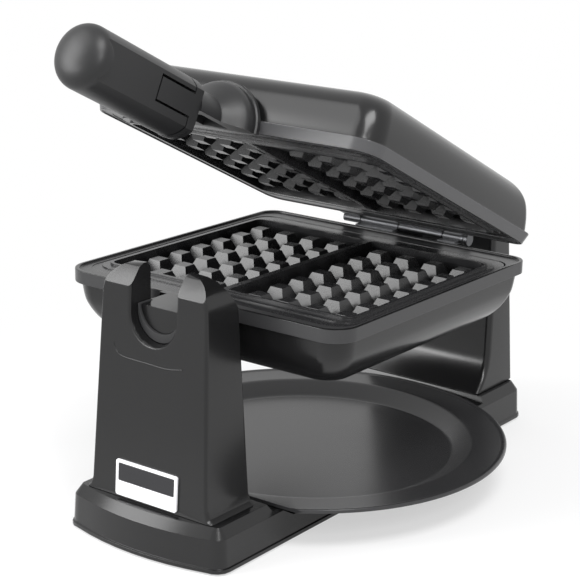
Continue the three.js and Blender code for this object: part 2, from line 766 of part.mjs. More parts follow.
// A heating element: a tube bent to a U, with both ends at the back.
function element() {
  const path = new THREE.CurvePath();
  const back = elementY;
  const v = (x, y) => new THREE.Vector3(x, y, elementHeight);
  const bend = elementBend;
  path.add(new THREE.LineCurve3(v(-elementX, back), v(-elementX, bend - back)));
  path.add(new THREE.QuadraticBezierCurve3(v(-elementX, bend - back), v(-elementX, -back), v(bend - elementX, -back)));
  path.add(new THREE.LineCurve3(v(bend - elementX, -back), v(elementX - bend, -back)));
  path.add(new THREE.QuadraticBezierCurve3(v(elementX - bend, -back), v(elementX, -back), v(elementX, bend - back)));
  path.add(new THREE.LineCurve3(v(elementX, bend - back), v(elementX, back)));
  const section = new THREE.Shape(arc(0, 0, elementRadius, 0, 360 - 45, 7));
  return solid(new THREE.ExtrudeGeometry(section, { steps: 28, extrudePath: path, bevelEnabled: false }));
}

// A heat shield: a thin sheet with a lip turned up round its edge.
function shield() {
  const corner = plateCorner * 2;
  const sheet = outline(shieldHalf, -shieldHalfLong, shieldHalfLong, corner, corner);
  let made = plateZ(sheet, shieldLow, shieldTop + shieldLip);
  const long = shieldHalfLong - shieldThick;
  const inside = outline(shieldHalf - shieldThick, -long, long, corner - shieldThick, corner - shieldThick);
  made = made.subtract(plateZ(inside, shieldTop, shieldTop + overrun));
  return made;
}

const plate = wafflePlate();
place(roll, "lower_waffle_plate", plate, plateCoat);
place(roll, "lower_element", element(), steel);
place(roll, "lower_heat_shield", shield(), steel);
const thermostatHigh = shieldLow - gap;
const thermostat = rodZ(thermostatRadius, 0, thermostatY, thermostatHigh - thermostatTall, thermostatHigh);
place(roll, "lower_thermostat", thermostat, steel);

// Lower half of the front trunnion, with its flange on the front of the pan.
const halfBelow = block(-panHalf, panHalf, trunnionFront * 2, 0, -panHalf, -trunnionSplit);
const flangeFace = panFront - gap;
let trunnion = rodY(trunnionRadius, 0, 0, trunnionLowFront, flangeFace, 40);
trunnion = trunnion.add(rodY(collarRadius - collarLowStep, 0, 0, flangeFace - collarThick, flangeFace, 40));
trunnion = trunnion.add(rodY(trunnionRadius + trunnionThroat, 0, 0, recessFace + gap, flangeFace, 40));
trunnion = trunnion.intersect(halfBelow);
const padHigh = bandLow - gap;
const padLow = padHigh - trunnionRadius * 0.8;
const padBack = panFront + panStep - gap;
trunnion = trunnion.add(
  block(-trunnionRadius, trunnionRadius, flangeFace - collarThick / 2, padBack, padLow, padHigh),
);
place(roll, "lower_trunnion", trunnion, housingBlack);

// Rear trunnion: an arm that runs back under the hinge and up to the shaft.
const armFront = panBack - panStep + gap;
const armSide = [
  at(armFront, armLow),
  at(armRiser, armLow + (armHigh - armLow) * 0.3),
  at(armBack, -shaftRadius * 2),
  at(armBack, shaftRadius),
  at(armRiser, shaftRadius),
  at(armRiser, armUnderHinge),
  at(armRiser - (armHigh - armLow) * 0.2, armHigh + (armUnderHinge - armHigh) * 0.2),
  at(armFront, armHigh),
];
let rearTrunnion = sideX(armSide, -armHalf, armHalf);
rearTrunnion = rearTrunnion.add(rodY(shaftRadius, 0, 0, armBack - overrun, shaftBack));
const shoulderBack = armBack + shaftCollarThick;
rearTrunnion = rearTrunnion.add(rodY(shaftCollarRadius, 0, 0, armRiser, shoulderBack));
place(roll, "rear_trunnion", rearTrunnion, housingBlack);
const washerFront = bushFront - gap - shaftCollarThick;
let shaftWasher = rodY(shaftCollarRadius, 0, 0, washerFront, washerFront + shaftCollarThick);
shaftWasher = shaftWasher.subtract(rodY(shaftRadius + gap, 0, 0, washerFront - overrun, bushFront + overrun));
place(roll, "shaft_washer", shaftWasher, steel);

// The lid turns about the hinge. Its parts are drawn shut and the group is opened.
const hingeGroup = new THREE.Group();
hingeGroup.position.set(0, hingeY, hingeRise);
hingeGroup.rotation.x = (-lidOpenDegrees * Math.PI) / 180;
roll.add(hingeGroup);
const lid = new THREE.Group();
lid.position.set(0, -hingeY, -hingeRise);
hingeGroup.add(lid);

const lidBandTop = rimDrop + bandTall - gap;
// Heights as shares of the rise over the band, with insets as shares of the half width.
const domeShares = [
  [0, 0.014],
  [0.28, 0.028],
  [0.52, 0.046],
  [0.68, 0.067],
  [0.81, 0.101],
  [0.91, 0.151],
  [0.97, 0.231],
  [1, 0.37],
];
const domeRise = lidHeight - lidBandTop;
const lidRings = domeShares.map(([up, inset]) => panRing(panHalf * inset, lidBandTop + domeRise * up));
let lidShell = loft([
  panRing(lidStepIn, rimDrop),
  panRing(lidStepIn, rimDrop + lidStepRise),
  panRing(0, rimDrop + lidStepRise + gap),
  panRing(0, lidBandTop - gap),
  ...lidRings,
]);
const domeInside = domeShares.slice(0, -1).map(([up, inset]) => {
  const z = up === 0 ? -shelfLow : lidBandTop + domeRise * up - housingWall * up;
  return panRing(panHalf * inset + housingWall * (1 + up), z);
});
lidShell = lidShell.subtract(loft(domeInside));
lidShell = lidShell.subtract(seatOpening(-overrun, -shelfLow + overrun));
lidShell = lidShell.subtract(seatRebate(-overrun, -seatTop));
const lidPostTop = lidHeight - housingWall / 2;
for (const p of postPlaces) lidShell = lidShell.add(rodZ(postRadius, p.x, p.y, -postTop, lidPostTop));
place(lid, "upper_housing", lidShell, housingBlack);

// The lid's plate, element, shield and thermostat are those of the pan, turned over.
const over = new THREE.Group();
over.rotation.y = Math.PI;
lid.add(over);
place(over, "upper_waffle_plate", plate, plateCoat);
place(over, "upper_element", element(), steel);
place(over, "upper_heat_shield", shield(), steel);
place(over, "upper_thermostat", thermostat, steel);

// Neck of the handle: a collar on the lid, a trumpet, the upper trunnion half, a block and a tongue.
const halfAbove = block(-panHalf, panHalf, trunnionFront * 2, 0, trunnionSplit, panHalf);
const neckRun = neckWaist - neckBack;
const neckProfile = [
  at(0, trunnionFront - trunnionNose),
  at(trunnionRadius, trunnionFront - trunnionNose),
  at(trunnionRadius, linerBack + gap),
  at(trunnionRadius + gap * 2, recessFace + gap),
  at(trunnionRadius + (neckBulge - trunnionRadius) * 0.3, neckBack + neckRun * 0.76),
  at(trunnionRadius + (neckBulge - trunnionRadius) * 0.62, neckBack + neckRun * 0.5),
  at(trunnionRadius + (neckBulge - trunnionRadius) * 0.88, neckBack + neckRun * 0.22),
  at(neckBulge, neckBack),
  at(neckBulge, flangeFace - collarThick),
  at(collarRadius - gap * 3, flangeFace - collarThick),
  at(collarRadius, flangeFace - collarThick + gap * 3),
  at(collarRadius, flangeFace),
  at(0, flangeFace),
];
let neck = turnedY(neckProfile, 36).intersect(halfAbove);
const pocketFront = neckWaist - overrun * 2;
const pocketBack = flangeFace - collarThick;
neck = neck.subtract(
  block(-neckPocketHalf, neckPocketHalf, pocketFront, pocketBack, -overrun, neckPocketHeight),
);
// The block in front of the tower has the grip's section, and slopes down to the trunnion half.
const gripTop = gripRise + gripRadius;
const blockTaper = turnedY(
  [
    at(0, neckBlockFront),
    at(gripRadius, neckBlockFront),
    at(trunnionRadius + gap, neckBlockBack),
    at(0, neckBlockBack),
  ],
  36,
);
const facetHalf = gripFacet - gap;
const facetBox = block(-facetHalf, facetHalf, gripTip, 0, -panHalf, panHalf);
neck = neck.add(blockTaper.intersect(facetBox));
const tongueHalf = facetHalf;
const tongueEnd = slotEnd + gap;
const tongueRound = pivotY - tongueEnd;
const tonguePlan = [
  at(tongueHalf, neckBlockBack),
  at(-tongueHalf, neckBlockBack),
  at(-tongueHalf, pivotY + gripFacet + gap),
  at(-tongueRound, pivotY + gripFacet + gap),
  ...arc(0, pivotY, tongueRound, 180, 270, 10),
  at(tongueHalf, tongueEnd),
];
neck = neck.add(plateZ(tonguePlan, slotLow + gap, slotHigh - gap));
const pinTop = gripTop - pinRecess;
const pinLow = gripRise - gripRadius + pinFloor;
neck = neck.subtract(rodZ(pinRadius + gap, 0, pivotY, pinLow, pinTop));
place(lid, "handle_neck", neck, gripBlack);
place(lid, "handle_pin", rodZ(pinRadius, 0, pivotY, pinLow + gap, pinTop), steel);

// The grip: a round bar with a blunt domed tip, flat sides and a fork that holds the tongue.
const domeRun = gripDome - gripTip;
const gripProfile = [at(0, gripTip)];
for (const degrees of [15, 30, 45, 60, 75, 90]) {
  const angle = (degrees * Math.PI) / 180;
  const reach = Math.cos(angle);
  gripProfile.push(at(gripRadius * Math.pow(1 - Math.pow(reach, 2.6), 1 / 2.2), gripDome - domeRun * reach));
}
gripProfile.push(at(gripRadius, gripEnd), at(0, gripEnd));
let grip = solid(new THREE.LatheGeometry(gripProfile, 36).translate(0, 0, gripRise));
for (const side of [-1, 1]) {
  const near = side * gripFacet;
  const far = side * gripRadius * 2;
  grip = grip.subtract(block(Math.min(near, far), Math.max(near, far), gripDome, 0, -panHalf, panHalf));
}
grip = grip.subtract(block(-gripRadius * 2, gripRadius * 2, slotEnd, 0, slotLow, slotHigh));
const prongReach = gripEnd - pivotY;
const prongPlan = [
  at(gripRadius * 2, gripTip * 2),
  at(gripRadius * 2, gripEnd),
  ...arc(0, pivotY, prongReach, 90, 170, 10),
  at(-gripRadius * 2, pivotY),
  at(-gripRadius * 2, gripTip * 2),
];
grip = grip.intersect(plateZ(prongPlan, -panHalf, panHalf));
grip = grip.subtract(rodZ(pinRadius + gap, 0, pivotY, pinLow, gripTop + overrun));
place(lid, "handle_grip", grip, gripBlack);

// Hinge leaves and knuckles. Lower leaves are on the pan and upper leaves on the lid.
const leafSpans = [];
for (let i = 0; i + 1 < hingeEnds.length; i += 2) leafSpans.push([hingeEnds[i], hingeEnds[i + 1]]);
function leaf(span, upper) {
  const [x0, x1] = span;
  const sign = upper ? 1 : -1;
  const outer = hingeRise + sign * knuckleRadius;
  const inner = outer - sign * hingeLeafThick;
  const z0 = Math.min(outer, inner);
  const z1 = Math.max(outer, inner);
  let made = rodX(knuckleRadius, hingeY, hingeRise, x0, x1);
  const wall = panBack + gap;
  made = made.add(block(x0, x1, wall, hingeY, z0, z1));
  const tall = upper ? hingeTabTall : -hingeTabTall;
  const w0 = Math.min(inner, inner + tall);
  const w1 = Math.max(inner, inner + tall);
  made = made.add(block(x0, x1, wall, wall + hingeLeafThick, w0, w1));
  return made.subtract(rodX(hingePinRadius + gap, hingeY, hingeRise, x0 - overrun, x1 + overrun, 16));
}
let tabs = leaf(leafSpans[0], true);
const tabRun = (leafSpans[0][1] - leafSpans[0][0] - hingeTabThick) / 2;
for (let i = 0; i < 3; i++) {
  const x = leafSpans[0][0] + tabRun * i;
  const low = hingeRise + knuckleRadius - hingeLeafThick / 2;
  tabs = tabs.add(block(x, x + hingeTabThick, panBack + gap, hingeY, low, hingeRise + hingeTabTall));
}
place(lid, "hinge_leaf_tabs", tabs, steel);
place(roll, "hinge_leaf_left", leaf(leafSpans[1], false), steel);
place(lid, "hinge_leaf_middle", leaf(leafSpans[2], true), steel);
place(roll, "hinge_leaf_right", leaf(leafSpans[3], false), steel);
const washerX = leafSpans[3][1] + hingeSideGap;
let washer = rodX(hingePinHead - gap, hingeY, hingeRise, washerX, washerX + hingeWasherThick);
washer = washer.subtract(rodX(hingePinRadius + gap, hingeY, hingeRise, washerX - overrun, washerX + overrun, 16));
place(roll, "hinge_washer", washer, steel);
const headX = washerX + hingeWasherThick + gap;
let hingePin = rodX(hingePinRadius, hingeY, hingeRise, leafSpans[0][0] - gap, headX + gap, 16);
hingePin = hingePin.add(rodX(hingePinHead, hingeY, hingeRise, headX, headX + hingePinHeadThick));
place(roll, "hinge_pin", hingePin, steel);

// The origin is the middle of the whole machine, at the surface that it stands on.
root.updateMatrixWorld(true);
const whole = new THREE.Box3().setFromObject(root, true);
const middle = whole.getCenter(new THREE.Vector3());
const product = new THREE.Group();
root.position.set(-middle.x, -middle.y, -whole.min.z);
product.add(root);
product.updateMatrixWorld(true);

export default product;
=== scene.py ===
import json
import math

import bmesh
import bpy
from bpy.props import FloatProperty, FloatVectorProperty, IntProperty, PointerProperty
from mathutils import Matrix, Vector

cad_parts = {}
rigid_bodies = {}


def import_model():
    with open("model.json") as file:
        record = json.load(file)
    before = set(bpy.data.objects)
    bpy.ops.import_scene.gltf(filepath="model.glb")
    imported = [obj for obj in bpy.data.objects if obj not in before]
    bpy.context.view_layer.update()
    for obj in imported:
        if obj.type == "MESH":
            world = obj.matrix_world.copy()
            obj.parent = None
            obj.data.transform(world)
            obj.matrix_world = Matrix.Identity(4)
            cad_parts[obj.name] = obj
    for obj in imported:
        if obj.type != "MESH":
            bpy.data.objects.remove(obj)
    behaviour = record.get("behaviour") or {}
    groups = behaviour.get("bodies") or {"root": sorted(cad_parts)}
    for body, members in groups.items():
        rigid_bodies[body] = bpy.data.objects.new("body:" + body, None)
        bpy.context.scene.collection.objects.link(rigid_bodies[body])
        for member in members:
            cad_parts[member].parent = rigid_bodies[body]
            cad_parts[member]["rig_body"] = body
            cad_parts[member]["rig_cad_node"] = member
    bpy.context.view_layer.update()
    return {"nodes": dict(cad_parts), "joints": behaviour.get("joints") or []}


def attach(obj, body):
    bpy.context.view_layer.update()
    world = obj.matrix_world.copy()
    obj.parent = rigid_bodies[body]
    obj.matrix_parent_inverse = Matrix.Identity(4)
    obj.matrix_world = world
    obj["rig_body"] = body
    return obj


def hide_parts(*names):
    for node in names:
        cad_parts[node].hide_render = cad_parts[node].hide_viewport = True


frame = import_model()

bl_info = {
    "name": "Rotating waffle maker",
    "version": (1, 0, 0),
    "blender": (4, 5, 0),
    "location": "View3D > Sidebar > Waffle maker",
    "description": "Dresses the solids of a rotating waffle maker and sets its studio",
    "category": "Add Mesh",
}

MM = 0.001

# Places are in millimetres: X to the right, Y to the back from the roll axis, Z up from the floor.
# For what the lid carries, they are places in the shut lid.
JOINTS = {joint["name"]: joint for joint in frame["joints"]}
AXIS = Vector(JOINTS["roll"]["pos_m"])
HINGE = Vector(JOINTS["lid_open"]["pos_m"])
PARTING = AXIS.z / MM
LID_OPEN = math.radians(25.72)
# Takes a point of the shut lid to the open one.
LID = Matrix.Translation(HINGE) @ Matrix.Rotation(-LID_OPEN, 4, "X") @ Matrix.Translation(-HINGE)
# The same the other way, as the turn and the move of a Mapping node.
SHUT_TURN = (LID_OPEN, 0, 0)
SHUT_MOVE = tuple(LID.inverted().translation)

# Corners and heights nearer than this many metres are the same.
SAME_PLACE = 0.000001
# Faces that turn by less than the first angle become one, and smoothing stops past the second.
FLAT_ANGLE = 0.6
SMOOTH_ANGLE = 40
# How many steps a smoothed profile has from one of its points to the next.
PROFILE_STEPS = 3

# The outline of both housings, and the radii of their corners at the front and at the back.
HOUSING_HALF = 119
HOUSING_FRONT = -117
HOUSING_BACK = 120.5
PAN_CORNERS = (18, 13)
LID_CORNERS = (17, 12)

# The band round the pan, as heights over the parting plane, and the slope of its inner edge.
PAN_RIM = -1.3
PAN_BAND = -10.7
PAN_LIP = ((2.2, -1.3), (2.6, -2.8))
# The strip of painted highlight along its band, painted lighter where lamps' reflection falls: two
# heights, and how many times lighter it is.
PAN_PAINTED_SHEEN = (-10.7, -1.6, 4)
# The pan's side below the band: height, then how far in from the band.
PAN_SIDE = (
    (-11, 3.4), (-21.8, 4.8), (-27.2, 6.4), (-32.6, 9.0),
    (-38.1, 12.7), (-43.5, 18.6), (-45.7, 25.1), (-46.2, 35.7))

# The band round the lid leans in towards the parting plane.
LID_RIM = 2
LID_BAND = ((2, 2.6), (0, 9.8), (0.2, 10.5))
LID_LIP = ((3, 2), (3.2, 2.8))
# The same strip of painted highlight along the lid's band: two heights, and how many times lighter
# it is.
LID_PAINTED_SHEEN = (2.3, 10, 8)
# The lid's side and top above the band: height, then how far in from the band.
LID_DOME = (
    (10.6, 2.4), (20.6, 3.6), (29.1, 5.5), (34.7, 8.0),
    (39.3, 12.0), (42.8, 18.0), (44.9, 27.5), (46, 44))

# The hollow that holds a waffle plate: half width, half length, and depth from the parting plane.
PLATE_SEAT = (
    (112.8, 105.3, 2.8), (112.8, 105.3, 5.5), (107.5, 89.7, 5.5), (107.3, 89.5, 8), (100, 84, 24))
PAN_FLOOR = (90, 76, 38)
LID_CEILING = (92, 78, 38)
# The pyramids of a plate stand between these depths.
PYRAMID_TOP = 4
PYRAMID_FOOT = 16.5

# The drip tray: its middle, its straight front edge, and its floor's radius and height.
TRAY_MIDDLE = 15
TRAY_EDGE = -107
TRAY_FLOOR = (106, 18)
# Its profile, radius and height, from the floor out under the rim, round it and back over it.
TRAY_UNDER = ((107.2, 18.5), (121, 26.2), (123, 26.7), (145.2, 27.6))
TRAY_RIM = (
    (146.5, 27.9), (147, 28.6), (147, 29.9), (146.5, 30.6),
    (145.3, 30.8), (144, 30.4), (142.6, 29.8))
TRAY_OVER = ((124, 29.4), (122, 29), (120.6, 28.2), (108.4, 21.5), (107, 20.8), (105, 20.3))

# The front tower's face leans back. A thin raised line on it runs through these places, X and Z.
TOWER_FACE = -158.8
TOWER_LEAN_SHARE = 0.0526
TOWER_LINE = (
    (-32.9, 136.7), (-31.5, 133.2), (-27.7, 129.8), (-20.7, 128.6),
    (-4, 128.3), (13.5, 128.1), (26.5, 130.3))
LINE_RADIUS = 0.4
LINE_STEPS = 6

# The grip is a bar round an axis just above the parting plane, with two flat sides and a blunt tip.
GRIP_AXIS = PARTING + 0.5
GRIP_RADIUS = 20.5
GRIP_SIDES = 72
GRIP_FLAT = 16
# Where its prongs end, where the flat sides begin, and the radius of the arc that they begin with.
PRONG_END = -169.5
FACET_START = -252.5
FACET_ARC = 18
# A ring halfway along the bar, and the start of the tip, from the roll axis. The tip is a rounded
# end with two powers, in rings that are a few degrees apart.
GRIP_RING = 210
TIP_START = 254
TIP_LENGTH = 13
TIP_POWERS = (2.4, 2.2)
TIP_RINGS = 14
TIP_STEP = 6.35
# The slot between the prongs: where it begins, and its heights over the parting plane.
SLOT_START = -203.2
SLOT_LOW = -6.7
SLOT_HIGH = 10.7
# The pin that the grip folds about, and its hole: lower end, radius and sides.
PIN_PLACE = -187
HOLE_END = -17
HOLE_RADIUS = 3.3
HOLE_SIDES = 32
# The block before the grip's prongs, on the neck.
NECK_GAP = 1.3
NECK_BLOCK_END = -160.6
NECK_BLOCK_HALF = 15.7
# The cutters' sides and how far they reach from the grip's axis, and further where one cutter is
# cut by another. Then where they end: behind the prongs, before the neck's block and past the tip.
CUTTER_SIDES = 64
REACH = 30
FAR_REACH = 40
SIDE_REACH = 60
CUT_BACK = -150
CUT_NECK = -190
CUT_TIP = -280
CUT_PAST_TIP = -300

# Soft lights: width, height, place and aim, in metres.
LIGHTS = {
    "key": (1.3, 1.0, (-0.92, -0.95, 1.72), (0, 0, 0.2)),
    "low": (0.9, 1.1, (-1.2, -1.36, 1.0), (0, -0.1, 0.22)),
    "fill": (0.4, 0.5, (1.3, -0.9, 1.12), (0, 0, 0.15)),
    "top": (0.95, 0.6, (0.75, -0.45, 1.65), (0, -0.1, 0.2)),
    "strip": (0.9, 0.22, (-0.75, -1.4, 0.42), (0.05, -0.1, 0.27)),
}

# The floor's side, and its glow for the camera and in reflections: this share of it up to the
# first distance from the middle, and all of it past the second. In metres.
FLOOR_SIZE = 12
FLOOR_GLOW_SHARE = 0.55
FLOOR_NEAR = 0.2
FLOOR_FAR = 0.46

# The camera: degrees round, up and over, metres to its target, and its shift in pixels of a square
# picture with this side.
CAMERA_TURN = (36.29, 18.0, 1.21)
CAMERA_DISTANCE = 1.22914
CAMERA_TARGET = (0, 0, 100.5)
CAMERA_SHIFT = (-8.22, 56.77)
FRAME_SIDE = 580
SENSOR_WIDTH = 36

WHITE = (1, 1, 1, 1)


class WaffleMakerFinish(bpy.types.PropertyGroup):
    """Colours and edges of the pieces."""

    housing: FloatVectorProperty(
        name="Housing", description="Colour of the housings and towers", subtype="COLOR",
        default=(0.0082, 0.0082, 0.0085), min=0, max=1)
    grip: FloatVectorProperty(
        name="Grip", description="Colour of the handle", subtype="COLOR",
        default=(0.0125, 0.0126, 0.0132), min=0, max=1)
    coating: FloatVectorProperty(
        name="Coating", description="Colour of the waffle plates", subtype="COLOR",
        default=(0.014, 0.014, 0.0148), min=0, max=1)
    tray: FloatVectorProperty(
        name="Tray", description="Colour of the drip tray", subtype="COLOR",
        default=(0.03, 0.03, 0.0312), min=0, max=1)
    edge: FloatProperty(
        name="Edge", description="Width of the rounding on moulded edges", unit="LENGTH",
        default=0.0005, min=0.0001, max=0.003)
    edge_steps: IntProperty(
        name="Edge steps", description="Segments of the rounding", default=3, min=1, max=6)
    corner_steps: IntProperty(
        name="Corner steps", description="Segments of the housings' corners",
        default=12, min=3, max=32)
    tray_sides: IntProperty(
        name="Tray sides", description="Sides of the round tray", default=128, min=24, max=256)


class WaffleMakerStudio(bpy.types.PropertyGroup):
    """Lights, floor and camera."""

    key: FloatProperty(
        name="Key", description="Power of the large soft light", unit="POWER", default=10, min=0)
    low: FloatProperty(
        name="Low", description="Power of the light at the front left", unit="POWER",
        default=23, min=0)
    fill: FloatProperty(
        name="Fill", description="Power of the light from the right", unit="POWER",
        default=8, min=0)
    top: FloatProperty(
        name="Top", description="Power of the light from above", unit="POWER", default=18, min=0)
    strip: FloatProperty(
        name="Strip", description="Power of the strip near the floor", unit="POWER",
        default=6, min=0)
    ambient: FloatProperty(
        name="Ambient", description="Strength of the light from all sides", default=0.55, min=0)
    lens: FloatProperty(
        name="Lens", description="Focal length in millimetres", default=105.1, min=10)


class Term:
    """A value in a material. Arithmetic on it adds Math nodes."""

    def __init__(self, tree, socket):
        self.tree = tree
        self.socket = socket

    def maths(self, operation, *values):
        node = self.tree.nodes.new("ShaderNodeMath")
        node.operation = operation
        for place, value in enumerate(values):
            if isinstance(value, Term):
                self.tree.links.new(value.socket, node.inputs[place])
            else:
                node.inputs[place].default_value = value
        return Term(self.tree, node.outputs[0])

    def beside(self, name):
        """Another value of the node that this one comes from."""
        return Term(self.tree, self.socket.node.outputs[name])

    def __add__(self, other):
        return self.maths("ADD", self, other)

    def __radd__(self, other):
        return self.maths("ADD", other, self)

    def __sub__(self, other):
        return self.maths("SUBTRACT", self, other)

    def __rsub__(self, other):
        return self.maths("SUBTRACT", other, self)

    def __mul__(self, other):
        return self.maths("MULTIPLY", self, other)

    def __rmul__(self, other):
        return self.maths("MULTIPLY", other, self)

    def __truediv__(self, other):
        return self.maths("DIVIDE", self, other)

    def __rtruediv__(self, other):
        return self.maths("DIVIDE", other, self)


class Nodes:
    """A node tree, with one way to add a node."""

    def __init__(self, tree):
        self.tree = tree
        self.tree.nodes.clear()

    def node(self, kind, settings, sockets, out=0):
        made = self.tree.nodes.new(kind)
        for name, value in settings.items():
            if name == "stops":
                self.set_stops(made.color_ramp, value)
            else:
                setattr(made, name, value)
        for name, value in sockets.items():
            if isinstance(value, Term):
                self.tree.links.new(value.socket, made.inputs[name])
            else:
                made.inputs[name].default_value = value
        return Term(self.tree, made.outputs[out]) if made.outputs else None

    def set_stops(self, ramp, stops):
        for place, (position, value) in enumerate(stops):
            stop = ramp.elements[place] if place < 2 else ramp.elements.new(position)
            stop.position = position
            stop.color = (value, value, value, 1)


class Finish(Nodes):
    """A material in the making, with its shader."""

    def __init__(self, name, shader="ShaderNodeBsdfPrincipled"):
        self.material = bpy.data.materials.new(name)
        self.material.use_nodes = True
        super().__init__(self.material.node_tree)
        self.output = self.tree.nodes.new("ShaderNodeOutputMaterial")
        self.shader = self.tree.nodes.new(shader)
        self.tree.links.new(self.shader.outputs[0], self.output.inputs[0])

    def place(self, turn=(0, 0, 0), scale=(1, 1, 1), move=(0, 0, 0)):
        source = self.node("ShaderNodeTexCoord", {}, {}, "Object")
        sockets = {"Vector": source, "Location": move, "Rotation": turn, "Scale": scale}
        return self.node("ShaderNodeMapping", {"vector_type": "POINT"}, sockets)

    def noise(self, where, scale, detail, roughness=0.5):
        sockets = {"Vector": where, "Scale": scale, "Detail": detail, "Roughness": roughness}
        return self.node("ShaderNodeTexNoise", {}, sockets)

    def mix(self, factor, first, second):
        """Mixes two colours, which are a Mix node's sockets 6 and 7. The mixed one leaves at 2."""
        first, second = (
            colour if isinstance(colour, Term) else (*colour, 1) for colour in (first, second))
        sockets = {0: factor, 6: first, 7: second}
        return self.node("ShaderNodeMix", {"data_type": "RGBA"}, sockets, 2)

    def height(self, where):
        return self.node("ShaderNodeSeparateXYZ", {}, {"Vector": where}, "Z")

    def ramp(self, factor, stops):
        return self.node("ShaderNodeValToRGB", {"stops": stops}, {"Fac": factor})

    def bump(self, height, strength, distance):
        sockets = {"Height": height, "Strength": strength, "Distance": distance}
        return self.node("ShaderNodeBump", {}, sockets)

    def feed(self, **terms):
        for name, value in terms.items():
            socket = self.shader.inputs[name.replace("_", " ")]
            if isinstance(value, Term):
                self.tree.links.new(value.socket, socket)
            else:
                socket.default_value = value


def shade(colour, share):
    return tuple(min(channel * share, 1) for channel in colour)


def moulded(name, colour, roughness, grain=0.12, strip=None, turn=(0, 0, 0), move=(0, 0, 0)):
    """Satin moulded plastic: a fine grain, soft patches of gloss and a slight drift of colour.

    The strip is a painted highlight along a rim: lighter in colour than the rest, and duller."""
    made = Finish(name)
    where = made.place()
    broad = made.noise(where, scale=14, detail=3)
    fine = made.noise(where, scale=1500, detail=2)
    tint = made.mix(broad, shade(colour, 0.9), shade(colour, 1.12))
    gloss = roughness + (broad - 0.5) * 0.08 + (fine - 0.5) * 0.06
    # Painted highlight: a strip along the rim is painted lighter, standing in for the lamps'
    # reflection there, and made a little duller.
    if strip:
        low, high, times = strip
        height = made.height(made.place(turn=turn, move=move))
        above = height.maths("GREATER_THAN", height, (PARTING + low) * MM)
        below = height.maths("LESS_THAN", height, (PARTING + high) * MM)
        inside = above * below
        tint = made.mix(inside, tint, shade(colour, times))
        gloss = gloss + inside * 0.1
    made.feed(Base_Color=tint, Roughness=gloss, Specular_IOR_Level=0.38)
    made.feed(Normal=made.bump(fine, strength=grain, distance=0.00004))
    return made.material


def coated(name, colour, top, foot, turn=(0, 0, 0), move=(0, 0, 0)):
    """Non-stick coating on cast metal: a fine orange peel, and tops that use has rubbed paler."""
    made = Finish(name)
    where = made.place(turn=turn, move=move)
    peel = made.noise(where, scale=900, detail=3, roughness=0.6)
    broad = made.noise(where, scale=22, detail=4)
    top, foot = top * MM, foot * MM
    climb = (made.height(where) - foot) / (top - foot)
    rubbed = made.ramp(climb, ((0.0, 0.0), (0.82, 0.1), (1.0, 0.75)))
    worn = rubbed * (0.55 + broad * 0.6)
    made.feed(Base_Color=made.mix(worn, shade(colour, 0.8), shade(colour, 1.6)))
    made.feed(Roughness=0.27 + (broad - 0.5) * 0.1 + (peel - 0.5) * 0.06)
    made.feed(Normal=made.bump(peel, strength=0.1, distance=0.00006))
    return made.material


def plain_steel(name, colour, roughness):
    """Drawn steel: fine lines along X and a little tarnish."""
    made = Finish(name)
    lines = made.noise(made.place(scale=(30, 900, 900)), scale=1, detail=3)
    patches = made.noise(made.place(), scale=60, detail=3)
    made.feed(Base_Color=made.mix(patches, shade(colour, 0.75), colour), Metallic=1.0)
    made.feed(Roughness=roughness + (lines - 0.5) * 0.2)
    made.feed(Normal=made.bump(lines, strength=0.15, distance=0.00004))
    return made.material


def matt_rubber(name, colour):
    """Matt rubber with a fine grain."""
    made = Finish(name)
    grain = made.noise(made.place(), scale=2200, detail=3)
    made.feed(Base_Color=made.mix(grain, shade(colour, 0.8), shade(colour, 1.3)))
    made.feed(Roughness=0.78 + (grain - 0.5) * 0.15)
    made.feed(Normal=made.bump(grain, strength=0.25, distance=0.00005))
    return made.material


# The materials, once they are made.
FINISHES = {}


def clear_selection():
    if bpy.context.object and bpy.context.object.mode != "OBJECT":
        bpy.ops.object.mode_set(mode="OBJECT")
    bpy.ops.object.select_all(action="DESELECT")


def pick(piece):
    """Selects one piece alone."""
    clear_selection()
    piece.select_set(True)
    bpy.context.view_layer.objects.active = piece


def copied(node):
    """A copy of a solid with its corners joined and its flat faces made whole."""
    source = frame["nodes"][node]
    piece = source.copy()
    piece.data = source.data.copy()
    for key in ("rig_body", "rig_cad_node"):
        if key in piece:
            del piece[key]
    piece.parent = None
    piece.matrix_world = Matrix.Identity(4)
    bpy.context.scene.collection.objects.link(piece)
    pick(piece)
    bpy.ops.object.mode_set(mode="EDIT")
    bpy.ops.mesh.select_all(action="SELECT")
    bpy.ops.mesh.remove_doubles(threshold=2 * SAME_PLACE)
    bpy.ops.mesh.dissolve_limited(angle_limit=math.radians(FLAT_ANGLE))
    bpy.ops.object.mode_set(mode="OBJECT")
    return piece


def rounded(piece, width, steps, angle=28):
    """Rounds the sharp edges of a piece and smooths what is left."""
    pick(piece)
    edge = piece.modifiers.new("edge", "BEVEL")
    edge.width = width
    edge.segments = steps
    edge.limit_method = "ANGLE"
    edge.angle_limit = math.radians(angle)
    edge.miter_outer = "MITER_ARC"
    bpy.ops.object.modifier_apply(modifier=edge.name)
    bpy.ops.object.shade_smooth_by_angle(angle=math.radians(SMOOTH_ANGLE))
    even = piece.modifiers.new("even", "WEIGHTED_NORMAL")
    even.keep_sharp = True
    even.weight = 60
    bpy.ops.object.modifier_apply(modifier=even.name)
    return piece


def at(x, y, z):
    """A place in metres from one in millimetres."""
    return Vector((x * MM, y * MM + AXIS.y, z * MM))


def opened(piece):
    """Enters edit mode with nothing selected."""
    pick(piece)
    bpy.ops.object.transform_apply(location=True, rotation=True, scale=True)
    bpy.ops.object.mode_set(mode="EDIT")
    bpy.ops.mesh.select_all(action="DESELECT")
    return piece


